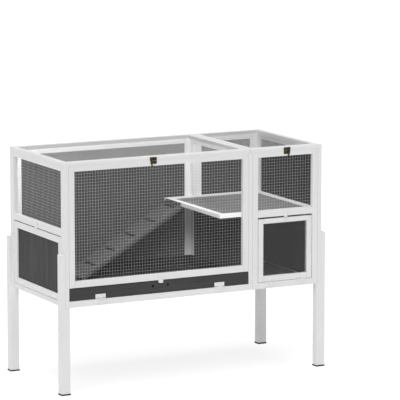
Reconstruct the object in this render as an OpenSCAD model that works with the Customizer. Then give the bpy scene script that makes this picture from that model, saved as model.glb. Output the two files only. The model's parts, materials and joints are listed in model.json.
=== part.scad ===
// Two-room rabbit hutch on legs: painted timber panels, welded mesh, grey boards.
// Millimetres. +Z is up, the front faces -Y, the feet stand on Z = 0.

/* [Cage] */
// Width over the two end panels
cage_w = 1220; // [1150:5:1300]
// Depth from the front face to the back face
cage_d = 560; // [520:5:620]
// Height of the panels, without the lids
panel_h = 592; // [560:2:640]
// Clear height under the cage
leg_clear = 370; // [250:5:450]
// Width of the left room, between the end panel and the divider
left_room_w = 845; // [780:5:880]

/* [Timber] */
// Thickness of every panel
timber_t = 18; // [16:0.5:20]
// Width of the stiles in the front panels
stile_w = 27; // [24:1:32]
// Width of the stiles in the left back panel
back_left_stile_w = 28; // [24:1:44]
// Width of the stiles in the right back panel
back_right_stile_w = 37; // [24:1:44]
// Width of the stiles in the end panels and the divider
end_stile_w = 40; // [38:1:46]
// Height of the top rails
top_rail_h = 22; // [18:1:26]
// Height of the middle rails and of the front and back bottom rails
rail_h = 27; // [24:1:30]
// Height of the bottom rails in the end panels and the divider
end_foot_rail_h = 20; // [18:1:24]
// Thickness of the grey boards
board_t = 6; // [4:1:8]
// Thickness of the sheet that stands for the welded mesh
mesh_t = 1; // [0.8:0.1:1.5]

/* [Lids] */
// Thickness of the lid frames
lid_t = 16; // [14:1:20]
// Width of the lids' front rails
lid_rail_w = 45; // [36:1:50]
// Gap between the two lids
lid_gap = 2; // [1.5:0.5:4]

/* [Doors] */
// Height of the tray flap's opening
flap_opening_h = 55; // [50:1:64]
// Thickness of the tray flap
flap_t = 12; // [10:1:14]
// Height from the cage's underside to the top of the front door's opening
front_door_top = 310; // [300:1:320]
// Height from the cage's underside to the top of the end door's opening
end_door_top = 297; // [290:1:305]
// Width of the front door's own stiles
door_stile_w = 24; // [20:1:28]
// Width of the end door's own stiles and rails
end_door_stile_w = 27; // [24:1:30]

/* [Inside] */
// Height from the cage's underside to the shelf's top
shelf_top = 335; // [332:1:345]
// Thickness of the shelf frame
shelf_t = 17; // [16:1:26]
// How far the shelf reaches past the divider into the left room
landing_w = 130; // [100:5:160]
// Slope of the ramp below level, in degrees
ramp_slope = 30; // [28:0.5:33]
// Width of the ramp
ramp_w = 160; // [120:5:180]
// Thickness of the ramp's plank
ramp_t = 15; // [12:1:18]
// Number of rungs on the ramp
rung_count = 5; // [4:1:6]
// Height of the pull-out tray
tray_h = 43; // [34:1:48]

/* [Legs] */
// Width of the legs along the cage
leg_w = 40; // [36:1:44]
// Depth of the legs
leg_d = 34; // [30:1:36]
// How far the outer half of each leg stands out from the end panel
leg_lap = 20; // [18:1:22]
// How far each leg rises beside the cage
leg_rise = 224; // [180:2:260]

/* [Hidden] */
$fn = 48;

white = [0.93, 0.93, 0.92];
grey = [0.29, 0.29, 0.29];
wire_grey = [0.78, 0.79, 0.79, 0.4];
clear = [0.85, 0.88, 0.9, 0.35];
black = [0.06, 0.06, 0.06];
zinc = [0.82, 0.83, 0.83];
brass = [0.62, 0.5, 0.28];
dark_steel = [0.2, 0.2, 0.2];
shelf_grey = [0.45, 0.45, 0.45];

// Planes of the cage
x_left = -cage_w / 2;
x_right = cage_w / 2;
y_front = -cage_d / 2;
y_back = cage_d / 2;
z_base = leg_clear;
z_rim = z_base + panel_h;
z_top = z_rim + lid_t;

// Inner faces of the panels, and both faces of the divider
x_in_left = x_left + timber_t;
x_in_right = x_right - timber_t;
x_div_left = x_in_left + left_room_w;
x_div_right = x_div_left + timber_t;
x_div = (x_div_left + x_div_right) / 2;
y_in_front = y_front + timber_t;
y_in_back = y_back - timber_t;
z_window_top = z_rim - top_rail_h;

// Heights of the rails
z_flap_top = z_base + rail_h + flap_opening_h;
z_window_left = z_flap_top + rail_h;
z_door_top = z_base + front_door_top;
z_window_right = z_door_top + rail_h;
z_end_door_top = z_base + end_door_top;
z_end_window = z_end_door_top + rail_h;

// Gaps around the doors
door_gap = 2.5;
foot_gap = 1.5;
door_head_gap = 7;
end_door_gap = 2;
end_head_gap = 4.5;
flap_head_gap = 3;

// Butt hinges: the barrel stands proud of the face that the leaves are screwed to
leaf_t = 1.2;
leaf_l = 47;
leaf_h = 20;
barrel_r = 3;
barrel_off = 0.4;
pin_r = 1.5;
pin_clear = 0.05;
knuckle_gap = 0.35;
axis_out = barrel_r + barrel_off;
lid_barrel_r = 3.8;
lid_barrel_off = 0.4;
lid_leaf_h = 14;

// Hinge lines
z_flap_axis = z_base + rail_h + foot_gap / 2;
z_door_axis = z_base + rail_h + foot_gap / 2;
z_end_axis = z_base + end_foot_rail_h + foot_gap / 2;
flap_mid_x = (x_in_left + x_div_left) / 2;
door_mid_x = (x_div_right + x_in_right) / 2;
flap_hinge_x = [flap_mid_x - 280, flap_mid_x + 280];
door_hinge_x = [door_mid_x - 75, door_mid_x + 75];
end_hinge_y = [-160, 160];
lid_left_hinge_x = [x_left + 150, x_div - 150];
lid_right_hinge_x = [x_div + 75, x_right - 75];

// Turn buttons: a screw through a flat block. The two door buttons hang with their short end
// down, clear of the door, and lap it after half a turn. The flap's hangs over a notch in the flap.
button_t = 5.7;
button_gap = 0.3;
button_screw_r = 2;
button_head_r = 4;
button_head_t = 1.7;
button_round = 3;
notch_side = 1.5;
notch_under = 3.5;
// Each is [width, length below the pivot, length above it]
flap_button_size = [20, 18.5, 7.5];
door_button_size = [15, 11.5, 17.5];
end_button_size = [19, 12.5, 19];
z_flap_button = z_flap_top + 7;
z_door_button = z_door_top + 6;
z_end_button = z_end_door_top + 9.5;
end_button_y = 5;

// Lid latches
latch_left_x = x_left + 408;
latch_right_x = x_left + 1048;
latch_w = 32;
latch_h = 14.5;
latch_plate_t = 1.4;
hook_t = 1.6;
hook_gap = 0.3;
hook_pivot = [10, lid_t / 2];
hook_reach = 17;
hook_turn = 32;
hook_w = 8;
hook_pin_r = 1.5;
stud_r = 1.2;
hook_tail = 14;
hook_tail_w = 6;
hook_tail_slant = 18;
rivet_head_t = 1;
keeper_w = 27;
keeper_h = 13.5;
keeper_t = 1;
keeper_reach = 16;
keeper_drop = 0.5;

// Shelf, tray and ramp
shelf_rail_w = 26;
shelf_inset = 6;
divider_rail_h = 12;
z_shelf = z_base + shelf_top;
z_divider_board = z_shelf - shelf_t - divider_rail_h;
x_shelf = x_div_left - landing_w;
shelf_front = y_in_front + 2;
notch_clear = 0.5;
tray_wall = 2.5;
tray_side_gap = 6;
tray_back_gap = 4;
tray_front_gap = 2;
tray_lip = 5;
base_right_drop = 2;
z_tray = z_base + rail_h;
ramp_back = 8;
ramp_y = [y_in_back - ramp_back - ramp_w, y_in_back - ramp_back];
ramp_mid_y = (ramp_y[0] + ramp_y[1]) / 2;
ramp_leaf_h = 12;
ramp_base_h = 9;
ramp_base_drop = 1.5;
ramp_axis = [x_shelf - axis_out, z_shelf - ramp_base_h - ramp_base_drop];
ramp_end_gap = 1.5;
ramp_foot_gap = 0.3;
ramp_drop = ramp_axis[1] - (axis_out + ramp_t) * cos(ramp_slope) - (z_tray + tray_wall + ramp_foot_gap);
ramp_len = ramp_drop / sin(ramp_slope);
ramp_hinge_pitch = leaf_l + 0.6;
ramp_hinge_y = [for (i = [-1:1]) ramp_mid_y + i * ramp_hinge_pitch];
rung = [9, 88, 5];
rung_pitch = 112;
rung_first = 19;

// Leg bolts: they run out from inside the cage into insert nuts in the legs
bolt_y = 27;
bolt_r = 3;
bolt_head_r = 8;
bolt_head_t = 2.5;
bolt_heights = [40, leg_rise - 26];
nut_r = 5;
nut_l = 15;
pad_out = 1.5;
pad_h = 6;

// A box between two corners
module slab(low, high) {
    translate(low) cube(high - low);
}

// A panel across the width, pierced by openings given as [x0, z0, x1, z1]
module wide_panel(x0, x1, y0, z0, z1, openings, thick = timber_t) {
    difference() {
        slab([x0, y0, z0], [x1, y0 + thick, z1]);
        for (o = openings)
            slab([o[0], y0 - 1, o[1]], [o[2], y0 + thick + 1, o[3]]);
    }
}

// A full-height panel across the depth, pierced by openings given as [z0, z1]
module deep_panel(x0, openings, bolted = false) {
    difference() {
        slab([x0, y_front, z_base], [x0 + timber_t, y_back, z_rim]);
        for (o = openings)
            slab([x0 - 1, y_front + end_stile_w, o[0]], [x0 + timber_t + 1, y_back - end_stile_w, o[1]]);
        if (bolted)
            for (y = [y_front + bolt_y, y_back - bolt_y], h = bolt_heights)
                translate([x0 - 1, y, z_base + h]) rotate([0, 90, 0]) cylinder(r = bolt_r, h = timber_t + 2);
    }
}

// Panels

end_openings = [[z_base + end_foot_rail_h, z_end_door_top], [z_end_window, z_window_top]];

module end_left_frame() {
    color(white) deep_panel(x_left, end_openings, true);
}

module end_right_frame() {
    color(white) deep_panel(x_in_right, end_openings, true);
}

module divider_frame() {
    color(white) deep_panel(x_div_left, [
        [z_base + end_foot_rail_h, z_divider_board],
        [z_shelf - shelf_t, z_window_top]
    ]);
}

module front_left_frame() {
    color(white) wide_panel(x_in_left, x_div_left, y_front, z_flap_top, z_rim,
        [[x_in_left + stile_w, z_window_left, x_div_left - stile_w, z_window_top]]);
}

module front_right_frame() {
    color(white) wide_panel(x_div_right, x_in_right, y_front, z_base, z_rim, [
        [x_div_right + stile_w, z_base + rail_h, x_in_right - stile_w, z_door_top],
        [x_div_right + stile_w, z_window_right, x_in_right - stile_w, z_window_top]
    ]);
}

module front_foot_rail() {
    color(white) slab([x_in_left, y_front, z_base], [x_div_left, y_in_front, z_base + rail_h]);
}

module back_left_frame() {
    color(white) wide_panel(x_in_left, x_div_left, y_in_back, z_base, z_rim,
        [[x_in_left + back_left_stile_w, z_base + rail_h, x_div_left - back_left_stile_w, z_window_top]]);
}

module back_right_frame() {
    color(white) wide_panel(x_div_right, x_in_right, y_in_back, z_base, z_rim,
        [[x_div_right + back_right_stile_w, z_base + rail_h, x_in_right - back_right_stile_w, z_window_top]]);
}

// Mesh sheets, flush with the inner face of each frame

module end_left_mesh() {
    color(wire_grey) slab([x_in_left - mesh_t, y_front + end_stile_w, z_end_window],
        [x_in_left, y_back - end_stile_w, z_window_top]);
}

module front_left_mesh() {
    color(wire_grey) slab([x_in_left + stile_w, y_in_front - mesh_t, z_window_left],
        [x_div_left - stile_w, y_in_front, z_window_top]);
}

module front_right_mesh() {
    color(wire_grey) slab([x_div_right + stile_w, y_in_front - mesh_t, z_window_right],
        [x_in_right - stile_w, y_in_front, z_window_top]);
}

// Boards let into the middle of each frame

board_inset = (timber_t - board_t) / 2;

module deep_board(x0, z0, z1) {
    slab([x0 + board_inset, y_front + end_stile_w, z0],
        [x0 + board_inset + board_t, y_back - end_stile_w, z1]);
}

module back_board(x0, x1) {
    slab([x0, y_in_back + board_inset, z_base + rail_h],
        [x1, y_in_back + board_inset + board_t, z_window_top]);
}

module end_right_boards() {
    color(grey) for (o = end_openings) deep_board(x_in_right, o[0], o[1]);
}

module back_left_board() {
    color(grey) back_board(x_in_left + back_left_stile_w, x_div_left - back_left_stile_w);
}

module back_right_board() {
    color(grey) back_board(x_div_right + back_right_stile_w, x_in_right - back_right_stile_w);
}

module divider_board() {
    color(grey) deep_board(x_div_left, z_base + end_foot_rail_h, z_divider_board);
}

// Floors, tray and shelf

module base_left() {
    color(grey) slab([x_in_left, y_in_front, z_tray - board_t], [x_div_left, y_in_back, z_tray]);
}

module base_right() {
    z1 = z_base + end_foot_rail_h - base_right_drop;
    color(grey) slab([x_div_right, y_in_front, z1 - board_t], [x_in_right, y_in_back, z1]);
}

module tray() {
    low = [x_in_left + tray_side_gap, y_in_front + tray_front_gap, z_tray];
    high = [x_div_left - tray_side_gap, y_in_back - tray_back_gap, z_tray + tray_h];
    wall = [tray_wall, tray_wall, tray_wall];
    color(black) difference() {
        union() {
            slab(low, high);
            slab([low[0] - tray_lip, low[1], high[2] - tray_wall], [high[0] + tray_lip, high[1], high[2]]);
        }
        slab(low + wall, [high[0] - tray_wall, high[1] - tray_wall, high[2] + 1]);
    }
}

module divider_notches(low_z, high_z) {
    depth = end_stile_w + notch_clear;
    for (y = [[y_front, y_front + depth], [y_back - depth, y_back]])
        slab([x_div_left - notch_clear, y[0], low_z], [x_div_right + notch_clear, y[1], high_z]);
}

module shelf_frame() {
    color(white) difference() {
        slab([x_shelf, shelf_front, z_shelf - shelf_t], [x_in_right, y_in_back, z_shelf]);
        slab([x_shelf + shelf_rail_w, shelf_front + shelf_rail_w, z_shelf - shelf_t - 1],
            [x_in_right - shelf_rail_w, y_in_back - shelf_rail_w, z_shelf + 1]);
        divider_notches(z_shelf - shelf_t - 1, z_shelf + 1);
    }
}

module shelf_board() {
    z1 = z_shelf - shelf_inset;
    color(shelf_grey) slab([x_shelf + shelf_rail_w, shelf_front + shelf_rail_w, z1 - board_t],
        [x_in_right - shelf_rail_w, y_in_back - shelf_rail_w, z1]);
}

module shelf_cleat() {
    color(white) slab([x_in_right - rail_h, y_in_front + 40, z_shelf - shelf_t - rail_h],
        [x_in_right, y_in_back - 40, z_shelf - shelf_t]);
}

// Legs: the full post carries the cage, and its outer half laps the end panel

module leg(turn) {
    y0 = y_back - leg_d;
    color(white) scale(turn) difference() {
        union() {
            slab([x_right + leg_lap - leg_w, y0, pad_h], [x_right + leg_lap, y_back, z_base]);
            slab([x_right, y0, z_base - 1], [x_right + leg_lap, y_back, z_base + leg_rise]);
        }
        for (h = bolt_heights)
            translate([x_right - 1, y_back - bolt_y, z_base + h])
                rotate([0, 90, 0]) cylinder(r = nut_r, h = nut_l + 1);
    }
}

module leg_front_left() leg([-1, -1, 1]);
module leg_front_right() leg([1, -1, 1]);
module leg_back_left() leg([-1, 1, 1]);
module leg_back_right() leg([1, 1, 1]);

module foot_pads() {
    color(black) for (side = [-1, 1], y0 = [y_front, y_back - leg_d])
        scale([side, 1, 1])
            slab([x_right + leg_lap - leg_w - pad_out, y0 - pad_out, 0],
                [x_right + leg_lap + pad_out, y0 + leg_d + pad_out, pad_h]);
}

// Repeats a shape that runs along +Z at each leg bolt, outwards from the inner face of the end panels
module at_bolts() {
    for (side = [-1, 1], y = [y_front + bolt_y, y_back - bolt_y], h = bolt_heights)
        scale([side, 1, 1]) translate([x_in_right, y, z_base + h]) rotate([0, 90, 0]) children();
}

module leg_bolts() {
    color(zinc) at_bolts() {
        translate([0, 0, -bolt_head_t]) cylinder(r = bolt_head_r, h = bolt_head_t);
        cylinder(r = bolt_r, h = timber_t + nut_l);
    }
}

module leg_nuts() {
    color(zinc) at_bolts() translate([0, 0, timber_t]) difference() {
        cylinder(r = nut_r, h = nut_l);
        translate([0, 0, -1]) cylinder(r = bolt_r, h = nut_l + 2);
    }
}

// Butt hinge leaf: it lies on the plane y = 0, rises along +Z from the pin, and the pin runs
// along X. The middle knuckle belongs to the moving leaf and the outer two to the fixed one.

module leaf(moving, r = barrel_r, off = barrel_off, high = leaf_h) {
    third = leaf_l / 3;
    spans = moving ? [[-third / 2, third / 2]] : [[-leaf_l / 2, -third / 2], [third / 2, leaf_l / 2]];
    translate([-leaf_l / 2, -leaf_t, r + off]) cube([leaf_l, leaf_t, high - r - off]);
    for (s = spans) {
        low = s[0] + (abs(s[0]) < leaf_l / 2 ? knuckle_gap / 2 : 0);
        top = s[1] - (abs(s[1]) < leaf_l / 2 ? knuckle_gap / 2 : 0);
        difference() {
            union() {
                translate([low, -leaf_t, 0]) cube([top - low, leaf_t, r + off]);
                translate([low, -r - off, 0]) rotate([0, 90, 0]) cylinder(r = r, h = top - low);
            }
            translate([low - 1, -r - off, 0]) rotate([0, 90, 0])
                cylinder(r = pin_r + (moving ? pin_clear : 0), h = top - low + 2);
        }
    }
}

module pin(r = barrel_r, off = barrel_off) {
    translate([-leaf_l / 2, -r - off, 0]) rotate([0, 90, 0]) cylinder(r = pin_r, h = leaf_l);
}

// Turns a hinge's local frame upside down, which makes a leaf run down from the pin
module downward() {
    rotate([0, 180, 0]) children();
}

// Places a hinge that is drawn facing -Y on the left end, facing -X
module on_left_end(y, z) {
    translate([x_left, y, z]) rotate([0, 0, -90]) children();
}

// Places a hinge that is drawn facing -Y on the back, facing +Y
module on_back(x) {
    translate([x, y_back, z_rim]) rotate([0, 0, 180]) children();
}

module flap_hinge_bases() {
    color(zinc) for (x = flap_hinge_x) translate([x, y_front, z_flap_axis]) downward() leaf(false);
}

module front_door_hinge_bases() {
    color(zinc) for (x = door_hinge_x) translate([x, y_front, z_door_axis]) downward() leaf(false);
}

module end_door_hinge_bases() {
    color(zinc) for (y = end_hinge_y) on_left_end(y, z_end_axis)
        downward() leaf(false, high = end_foot_rail_h - 2);
}

module lid_hinge_bases() {
    color(zinc) for (x = concat(lid_left_hinge_x, lid_right_hinge_x)) on_back(x)
        downward() leaf(false, lid_barrel_r, lid_barrel_off, top_rail_h - 2);
}

module hinge_pins() {
    color(zinc) {
        for (x = flap_hinge_x) translate([x, y_front, z_flap_axis]) pin();
        for (x = door_hinge_x) translate([x, y_front, z_door_axis]) pin();
        for (y = end_hinge_y) on_left_end(y, z_end_axis) pin();
        for (x = concat(lid_left_hinge_x, lid_right_hinge_x)) on_back(x) pin(lid_barrel_r, lid_barrel_off);
        for (y = ramp_hinge_y) on_shelf_end(y) pin();
    }
}

// Turn buttons

// A block with rounded corners that hangs from its pivot, drawn facing -Y with the pivot at the origin
module button(size) {
    r = size[0] / 2;
    e = button_round;
    long = size[1] + size[2];
    translate([0, -button_gap, 0]) rotate([90, 0, 0]) linear_extrude(button_t) difference() {
        union() {
            translate([-r, e - size[1]]) square([size[0], long - 2 * e]);
            translate([e - r, -size[1]]) square([size[0] - 2 * e, long]);
            for (x = [e - r, r - e], z = [e - size[1], size[2] - e]) translate([x, z]) circle(r = e);
        }
        circle(r = button_screw_r + pin_clear);
    }
}

module button_screw() {
    rotate([90, 0, 0]) {
        cylinder(r = button_screw_r, h = 2 * button_gap + button_t);
        translate([0, 0, 2 * button_gap + button_t])
            cylinder(r = button_head_r, h = button_head_t);
    }
}

// The notch that lets the flap pass its button while the button hangs straight down
module flap_notch(z_edge) {
    half = flap_button_size[0] / 2 + notch_side;
    z0 = z_flap_button - flap_button_size[1] - notch_under;
    slab([flap_mid_x - half, y_front - 1, z0], [flap_mid_x + half, y_front + flap_t + 1, z_edge + 1]);
}

module button_screws() {
    color(zinc) {
        translate([flap_mid_x, y_front, z_flap_button]) button_screw();
        translate([door_mid_x, y_front, z_door_button]) button_screw();
        on_left_end(end_button_y, z_end_button) button_screw();
    }
}

module flap_button() {
    color(white) translate([flap_mid_x, y_front, z_flap_button]) button(flap_button_size);
}

module front_door_button() {
    color(white) translate([door_mid_x, y_front, z_door_button]) button(door_button_size);
}

module end_door_button() {
    color(white) on_left_end(end_button_y, z_end_button) button(end_button_size);
}

// Tray flap

finger_hole_r = 5.5;
finger_hole_x = 35;
finger_hole_z = 30.5;

module flap_board() {
    low = [x_in_left + foot_gap, y_front, z_base + rail_h + foot_gap];
    high = [x_div_left - foot_gap, y_front + flap_t, z_flap_top - flap_head_gap];
    color(grey) difference() {
        slab(low, high);
        flap_notch(high[2]);
        for (x = [-finger_hole_x, finger_hole_x])
            translate([flap_mid_x + x, y_front - 1, low[2] + finger_hole_z])
                rotate([-90, 0, 0]) cylinder(r = finger_hole_r, h = flap_t + 2);
    }
}

module flap_leaves() {
    color(zinc) for (x = flap_hinge_x) translate([x, y_front, z_flap_axis]) leaf(true);
}

// Front door with its clear pane

door_x = [x_div_right + stile_w + door_gap, x_in_right - stile_w - door_gap];
door_z = [z_base + rail_h + foot_gap, z_door_top - door_head_gap];
pane_t = 3;
door_foot_w = door_stile_w + 2;
door_head_w = door_stile_w - 3;

module front_door_frame() {
    color(white) wide_panel(door_x[0], door_x[1], y_front, door_z[0], door_z[1],
        [[door_x[0] + door_stile_w, door_z[0] + door_foot_w,
          door_x[1] - door_stile_w, door_z[1] - door_head_w]]);
}

module front_door_pane() {
    y0 = y_front + (timber_t - pane_t) / 2;
    color(clear) slab([door_x[0] + door_stile_w, y0, door_z[0] + door_foot_w],
        [door_x[1] - door_stile_w, y0 + pane_t, door_z[1] - door_head_w]);
}

module front_door_leaves() {
    color(zinc) for (x = door_hinge_x) translate([x, y_front, z_door_axis]) leaf(true);
}

// End door with its grey board

end_y = [y_front + end_stile_w + end_door_gap, y_back - end_stile_w - end_door_gap];
end_z = [z_base + end_foot_rail_h + foot_gap, z_end_door_top - end_head_gap];

module end_door_frame() {
    color(white) difference() {
        slab([x_left, end_y[0], end_z[0]], [x_in_left, end_y[1], end_z[1]]);
        slab([x_left - 1, end_y[0] + end_door_stile_w, end_z[0] + end_door_stile_w],
            [x_in_left + 1, end_y[1] - end_door_stile_w, end_z[1] - end_door_stile_w]);
    }
}

module end_door_board() {
    color(grey) slab([x_left + board_inset, end_y[0] + end_door_stile_w, end_z[0] + end_door_stile_w],
        [x_left + board_inset + board_t, end_y[1] - end_door_stile_w, end_z[1] - end_door_stile_w]);
}

module end_door_leaves() {
    color(zinc) for (y = end_hinge_y) on_left_end(y, z_end_axis) leaf(true);
}

// Lids

// Each fills a lid's outline [x0, x1], and the opening is stile_w in from the ends and the back
module lid_opening(x, z0, z1) {
    slab([x[0] + stile_w, y_front + lid_rail_w, z0], [x[1] - stile_w, y_back - stile_w, z1]);
}

module lid_frame(x) {
    color(white) difference() {
        slab([x[0], y_front, z_rim], [x[1], y_back, z_top]);
        lid_opening(x, z_rim - 1, z_top + 1);
    }
}

module lid_mesh(x) {
    color(wire_grey) lid_opening(x, z_rim, z_rim + mesh_t);
}

module lid_leaves(places) {
    color(zinc) for (x = places) on_back(x) leaf(true, lid_barrel_r, lid_barrel_off, lid_leaf_h);
}

// Latches are drawn facing -Y, with the hook towards +X, and the left one is mirrored
module latch_place(x, side) {
    translate([x, y_front, z_rim]) scale([side, 1, 1]) children();
}

// Latch plate with the rivet that the hook swings on
module latch_plate(x, side) {
    color(brass) latch_place(x, side) {
        slab([-latch_w / 2, -latch_plate_t, (lid_t - latch_h) / 2], [latch_w / 2, 0, (lid_t + latch_h) / 2]);
        translate([hook_pivot[0], -latch_plate_t, hook_pivot[1]]) rotate([90, 0, 0]) {
            cylinder(r = hook_pin_r, h = hook_t + 2 * hook_gap);
            translate([0, 0, hook_t + 2 * hook_gap]) cylinder(r = 2 * hook_pin_r, h = rivet_head_t);
        }
    }
}

// Hook with a slot that opens towards the stud, and a slanted finger tail
module hook(x, side) {
    slot = 4 * stud_r;
    color(brass) latch_place(x, side) translate([hook_pivot[0], -latch_plate_t - hook_gap, hook_pivot[1]])
        rotate([90, 0, 0]) linear_extrude(hook_t) difference() {
            union() {
                circle(d = hook_w);
                translate([-hook_w / 2, -hook_reach]) square([hook_w, hook_reach]);
                translate([0, -hook_reach]) circle(d = hook_w);
                translate([0, -hook_reach]) rotate(-hook_tail_slant) {
                    translate([-hook_tail_w / 2, -hook_tail]) square([hook_tail_w, hook_tail]);
                    translate([0, -hook_tail]) circle(d = hook_tail_w);
                }
            }
            circle(r = hook_pin_r + pin_clear);
            translate([0, -hook_reach]) circle(d = slot);
            translate([-hook_w, -hook_reach - slot / 2]) square([hook_w, slot]);
        }
}

lid_left_x = [x_left, x_div - lid_gap / 2];
lid_right_x = [x_div + lid_gap / 2, x_right];

module lid_left_frame() lid_frame(lid_left_x);
module lid_left_mesh() lid_mesh(lid_left_x);
module lid_left_leaves() lid_leaves(lid_left_hinge_x);
module lid_left_latch_plate() latch_plate(latch_left_x, -1);
module lid_left_hook() hook(latch_left_x, -1);
module lid_right_frame() lid_frame(lid_right_x);
module lid_right_mesh() lid_mesh(lid_right_x);
module lid_right_leaves() lid_leaves(lid_right_hinge_x);
module lid_right_latch_plate() latch_plate(latch_right_x, 1);
module lid_right_hook() hook(latch_right_x, 1);

// Keeper plates on the front rails, each with the stud that its hook turns on to
module keeper(x, side) {
    latch_place(x, side) {
        slab([-keeper_reach, -keeper_t, -keeper_h - keeper_drop],
            [keeper_w - keeper_reach, 0, -keeper_drop]);
        translate([hook_pivot[0], -keeper_t, hook_pivot[1]]) rotate([0, hook_turn, 0])
            translate([0, 0, -hook_reach]) rotate([90, 0, 0])
                cylinder(r = stud_r, h = latch_plate_t + hook_t + rivet_head_t);
    }
}

module latch_keepers() {
    color(brass) {
        keeper(latch_left_x, -1);
        keeper(latch_right_x, 1);
    }
}

// Ramp: butt hinges join its top face to the shelf's end

// Local x runs up the slope to the hinge line, and local z = 0 is the plank's top face
module along_ramp() {
    translate([ramp_axis[0], 0, ramp_axis[1]]) rotate([0, -ramp_slope, 0]) translate([0, 0, -axis_out])
        children();
}

module ramp_plank() {
    color(grey) intersection() {
        along_ramp() slab([-ramp_len, ramp_y[0], -ramp_t], [ramp_t, ramp_y[1], 0]);
        slab([x_left, y_front, z_base], [x_shelf - ramp_end_gap, y_back, z_rim]);
    }
}

module ramp_rungs() {
    color(black) along_ramp() for (i = [0:rung_count - 1])
        translate([-rung_first - i * rung_pitch, ramp_mid_y, 0])
            slab([-rung[0] / 2, -rung[1] / 2, 0], [rung[0] / 2, rung[1] / 2, rung[2]]);
}

// Places a hinge that is drawn facing -Y on the shelf's end, facing -X
module on_shelf_end(y) {
    translate([x_shelf, y, ramp_axis[1]]) rotate([0, 0, -90]) children();
}

module ramp_hinge_bases() {
    color(dark_steel) for (y = ramp_hinge_y) on_shelf_end(y) leaf(false, high = ramp_base_h);
}

module ramp_leaves() {
    color(dark_steel) for (y = ramp_hinge_y) along_ramp() translate([0, y, 0])
        rotate([0, -90, 0]) rotate([0, 0, 90]) leaf(true, high = ramp_leaf_h);
}

end_left_frame();
end_right_frame();
divider_frame();
front_left_frame();
front_right_frame();
front_foot_rail();
back_left_frame();
back_right_frame();
end_left_mesh();
front_left_mesh();
front_right_mesh();
end_right_boards();
back_left_board();
back_right_board();
divider_board();
base_left();
base_right();
tray();
shelf_frame();
shelf_board();
shelf_cleat();
leg_front_left();
leg_front_right();
leg_back_left();
leg_back_right();
foot_pads();
leg_bolts();
leg_nuts();
flap_hinge_bases();
front_door_hinge_bases();
end_door_hinge_bases();
lid_hinge_bases();
ramp_hinge_bases();
hinge_pins();
latch_keepers();
button_screws();
lid_left_frame();
lid_left_mesh();
lid_left_leaves();
lid_left_latch_plate();
lid_left_hook();
lid_right_frame();
lid_right_mesh();
lid_right_leaves();
lid_right_latch_plate();
lid_right_hook();
flap_board();
flap_leaves();
flap_button();
front_door_frame();
front_door_pane();
front_door_leaves();
front_door_button();
end_door_frame();
end_door_board();
end_door_leaves();
end_door_button();
ramp_plank();
ramp_rungs();
ramp_leaves();
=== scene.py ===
"""Looks of a two-room rabbit hutch on legs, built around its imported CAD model."""

import json
import math
import random

import bmesh
import bpy
from mathutils import Matrix, Vector

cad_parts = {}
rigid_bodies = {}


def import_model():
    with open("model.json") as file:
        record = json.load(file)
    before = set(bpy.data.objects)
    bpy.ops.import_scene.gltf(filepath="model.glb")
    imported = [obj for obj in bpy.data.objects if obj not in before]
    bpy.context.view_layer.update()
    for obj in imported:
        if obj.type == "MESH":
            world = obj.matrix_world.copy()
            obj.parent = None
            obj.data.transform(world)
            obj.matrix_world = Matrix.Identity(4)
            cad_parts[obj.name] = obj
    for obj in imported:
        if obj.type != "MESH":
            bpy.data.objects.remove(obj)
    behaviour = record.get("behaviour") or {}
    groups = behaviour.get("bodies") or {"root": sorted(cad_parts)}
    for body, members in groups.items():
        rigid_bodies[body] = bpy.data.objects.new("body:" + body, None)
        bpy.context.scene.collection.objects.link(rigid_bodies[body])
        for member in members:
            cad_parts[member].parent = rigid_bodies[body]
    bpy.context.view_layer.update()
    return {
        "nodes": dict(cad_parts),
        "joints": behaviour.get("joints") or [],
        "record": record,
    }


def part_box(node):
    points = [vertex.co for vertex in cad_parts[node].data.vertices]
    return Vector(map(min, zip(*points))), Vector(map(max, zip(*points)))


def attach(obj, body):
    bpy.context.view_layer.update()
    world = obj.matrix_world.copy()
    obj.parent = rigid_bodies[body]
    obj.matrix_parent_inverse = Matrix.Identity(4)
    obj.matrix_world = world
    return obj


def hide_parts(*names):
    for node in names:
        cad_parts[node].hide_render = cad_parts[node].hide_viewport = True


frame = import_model()
random.seed(7)

X, Y, Z = 0, 1, 2
MM = 0.001
HUTCH_LOW, HUTCH_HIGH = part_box("end_left_frame")[0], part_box("end_right_frame")[1]
BODY_OF = {n: body for body, names in frame["record"]["behaviour"]["bodies"].items() for n in names}
SLOT_OF = {part["node"]: part["material_slot"] for part in frame["record"]["subparts"]}


def linked(name, data):
    """A new object in the scene."""
    made = bpy.data.objects.new(name, data)
    bpy.context.scene.collection.objects.link(made)
    return made


# Materials. The hutch's read the "board" attribute: x runs along each board's grain, and every board
# has its own offset, so no two boards show the same figure. A stretch is in cells per metre along
# and across the grain, and depths of bumps are in metres.

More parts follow.
